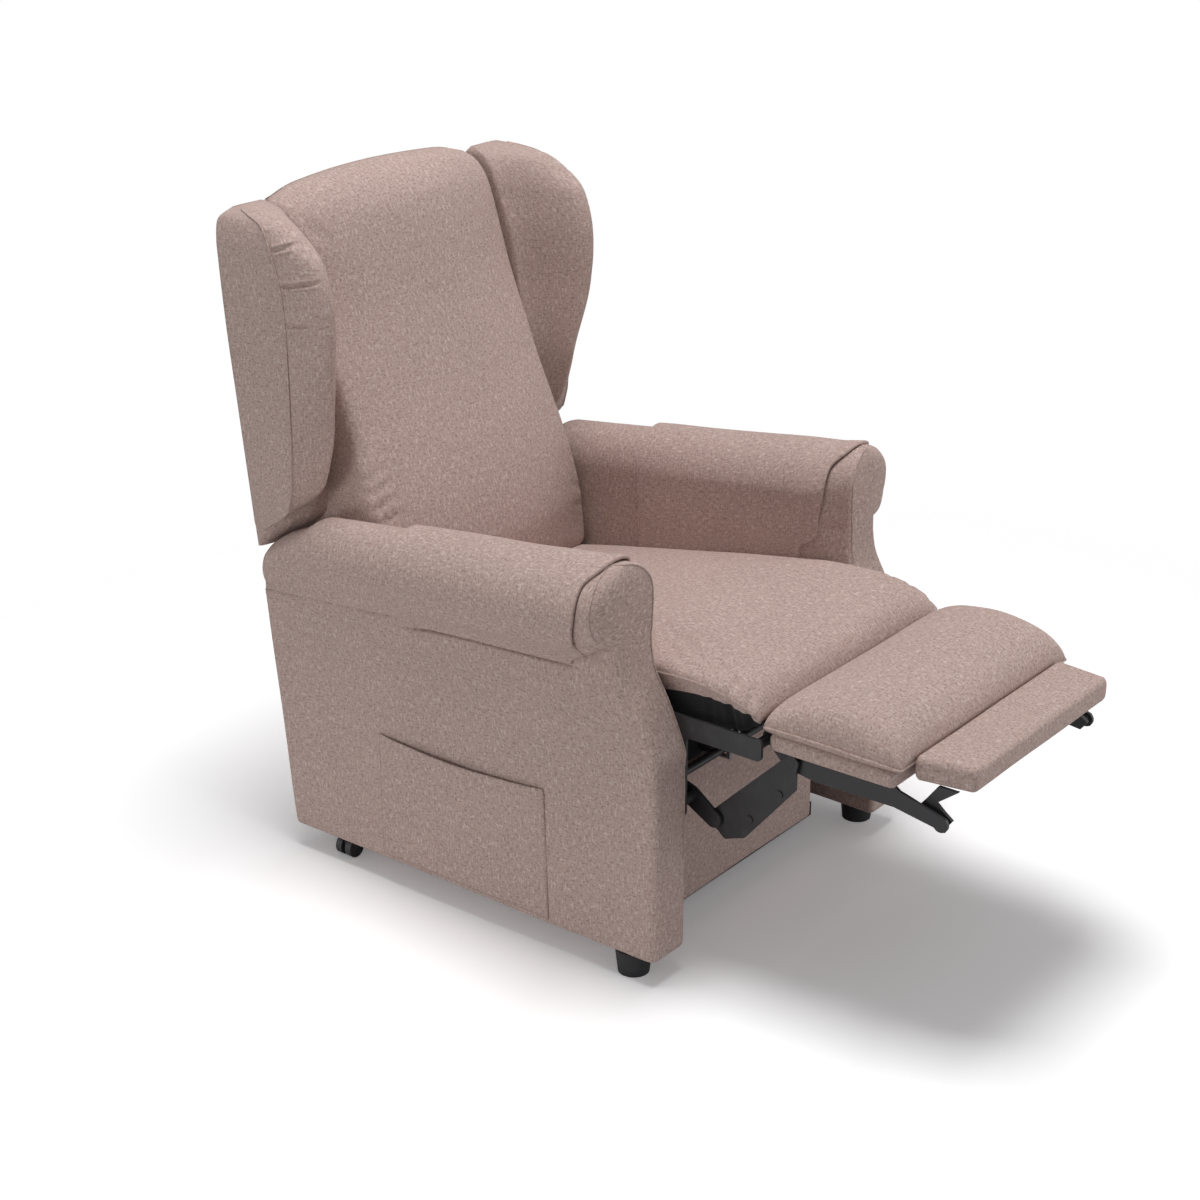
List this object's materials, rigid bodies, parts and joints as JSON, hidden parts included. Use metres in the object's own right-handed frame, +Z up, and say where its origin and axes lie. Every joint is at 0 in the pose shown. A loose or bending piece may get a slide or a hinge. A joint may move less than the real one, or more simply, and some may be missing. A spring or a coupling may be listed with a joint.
{
  "type": "lift recliner",
  "caption": "Upholstered wing-back lift recliner with rolled arms, powered lift base, reclining back and a folding footrest with a flip-over footplate",
  "frame": {"origin": "on the floor, under the middle of the chair's box with the footrest out and the back upright", "axes": "+Z up, the chair faces -Y, +X is the sitter's left"},
  "size_m": [0.805, 1.3046, 1.072],
  "materials": {
    "upholstery": "woven mauve-taupe melange cloth over foam",
    "black_cloth": "black woven cloth",
    "black_steel": "satin black powder coat",
    "bright_steel": "drawn steel rod",
    "black_plastic": "moulded black plastic",
    "wheel_plastic": "black wheel plastic",
    "wood": "sawn beech"
  },
  "bodies": {
    "base": {"base_rail_right": "black_steel", "base_rail_left": "black_steel", "base_tube_front": "black_steel", "base_tube_rear": "black_steel", "base_pads": "black_plastic", "base_bracket_right": "black_steel", "base_bracket_left": "black_steel", "lift_actuator": "black_plastic"},
    "lift_rod": {"lift_rod": "bright_steel"},
    "lift_arms": {"lift_link_right": "black_steel", "lift_link_left": "black_steel", "lift_torque_tube": "black_steel"},
    "lift_stays": {"lift_stay_right": "black_steel", "lift_stay_left": "black_steel"},
    "chair": {"mechanism_plate_right": "black_steel", "mechanism_plate_left": "black_steel", "front_cross_tube": "black_steel", "rear_cross_tube": "black_steel", "arm_right": "upholstery", "arm_left": "upholstery", "arm_cap_right": "upholstery", "arm_cap_left": "upholstery", "side_pocket": "upholstery", "front_feet": "black_plastic", "front_apron": "upholstery", "rear_apron": "upholstery", "seat_rail_right": "wood", "seat_rail_left": "wood", "seat_front_rail": "wood", "seat_webbing": "black_cloth", "seat_cushion": "upholstery", "dust_curtain": "black_cloth", "control_box": "black_plastic", "back_actuator": "black_plastic", "footrest_actuator": "black_plastic"},
    "back": {"back_cushion": "upholstery", "back_shell": "upholstery", "wing_right": "upholstery", "wing_left": "upholstery", "back_upright_right": "black_steel", "back_upright_left": "black_steel", "back_top_rail": "black_steel", "back_lower_tube": "black_steel"},
    "back_rod": {"back_rod": "bright_steel"},
    "footrest_rod": {"footrest_rod": "bright_steel"},
    "footrest": {"footrest_board": "upholstery", "footrest_pad": "upholstery", "footrest_rail_right": "black_steel", "footrest_rail_left": "black_steel"},
    "footrest_crank": {"footrest_cranks": "black_steel", "footrest_drive_bar": "black_steel"},
    "drive_links": {"drive_link_right": "black_steel", "drive_link_left": "black_steel"},
    "footplate": {"footplate": "upholstery", "footplate_brackets": "black_steel"},
    "castor_right": {"castor_housing_right": "black_plastic"},
    "castor_left": {"castor_housing_left": "black_plastic"},
    "castor_wheels_right": {"castor_wheels_right": "wheel_plastic"},
    "castor_wheels_left": {"castor_wheels_left": "wheel_plastic"}
  },
  "joints": [
    {"name": "lift", "type": "hinge", "parent": "base", "child": "lift_arms", "pos_m": [0, -0.06232, 0.11], "axis": [1, 0, 0], "range_deg": [0, 40]},
    {"name": "lift_tilt", "type": "hinge", "parent": "lift_arms", "child": "chair", "pos_m": [0, 0.34768, 0.11], "axis": [1, 0, 0], "range_deg": [-15, 0]},
    {"name": "lift_stay_swing", "type": "hinge", "parent": "base", "child": "lift_stays", "pos_m": [0, -0.04832, 0.166], "axis": [1, 0, 0], "range_deg": [0, 40]},
    {"name": "lift_push", "type": "slide", "parent": "base", "child": "lift_rod", "axis": [0, -1, 0], "range_m": [0, 0.062]},
    {"name": "recline", "type": "hinge", "parent": "chair", "child": "back", "pos_m": [0, 0.50268, 0.44], "axis": [1, 0, 0], "range_deg": [-40, 0]},
    {"name": "back_push", "type": "slide", "parent": "chair", "child": "back_rod", "axis": [0, -1, 0], "range_m": [0, 0.102]},
    {"name": "footrest", "type": "hinge", "parent": "chair", "child": "footrest", "pos_m": [0, -0.32432, 0.408], "axis": [1, 0, 0], "range_deg": [0, 90]},
    {"name": "crank_swing", "type": "hinge", "parent": "chair", "child": "footrest_crank", "pos_m": [0, -0.19632, 0.278], "axis": [1, 0, 0], "range_deg": [0, 90]},
    {"name": "drive_link_swing", "type": "hinge", "parent": "footrest_crank", "child": "drive_links", "pos_m": [0, -0.23632, 0.252], "axis": [1, 0, 0], "range_deg": [-90, 0]},
    {"name": "footplate_flip", "type": "hinge", "parent": "footrest", "child": "footplate", "pos_m": [0, -0.61132, 0.358], "axis": [1, 0, 0], "range_deg": [0, 180]},
    {"name": "footrest_push", "type": "slide", "parent": "chair", "child": "footrest_rod", "axis": [0, -1, 0], "range_m": [0, 0.0535]},
    {"name": "castor_swivel_right", "type": "hinge", "parent": "chair", "child": "castor_right", "pos_m": [-0.306, 0.44268, 0.041], "axis": [0, 0, 1], "continuous": true},
    {"name": "castor_roll_right", "type": "hinge", "parent": "castor_right", "child": "castor_wheels_right", "pos_m": [-0.318, 0.44268, 0.017], "axis": [0, 1, 0], "continuous": true},
    {"name": "castor_swivel_left", "type": "hinge", "parent": "chair", "child": "castor_left", "pos_m": [0.306, 0.44268, 0.041], "axis": [0, 0, 1], "continuous": true},
    {"name": "castor_roll_left", "type": "hinge", "parent": "castor_left", "child": "castor_wheels_left", "pos_m": [0.318, 0.44268, 0.017], "axis": [0, 1, 0], "continuous": true}
  ],
  "couplings": [
    {"joint": "lift_tilt", "follows": "lift", "ratio": -0.375},
    {"joint": "lift_stay_swing", "follows": "lift", "ratio": 0.99},
    {"joint": "lift_push", "follows": "lift", "m_per_rad": 0.08824},
    {"joint": "back_push", "follows": "recline", "m_per_rad": -0.146},
    {"joint": "crank_swing", "follows": "footrest", "ratio": 1},
    {"joint": "drive_link_swing", "follows": "footrest", "ratio": -1},
    {"joint": "footplate_flip", "follows": "footrest", "ratio": 2},
    {"joint": "footrest_push", "follows": "footrest", "m_per_rad": 0.03385}
  ]
}
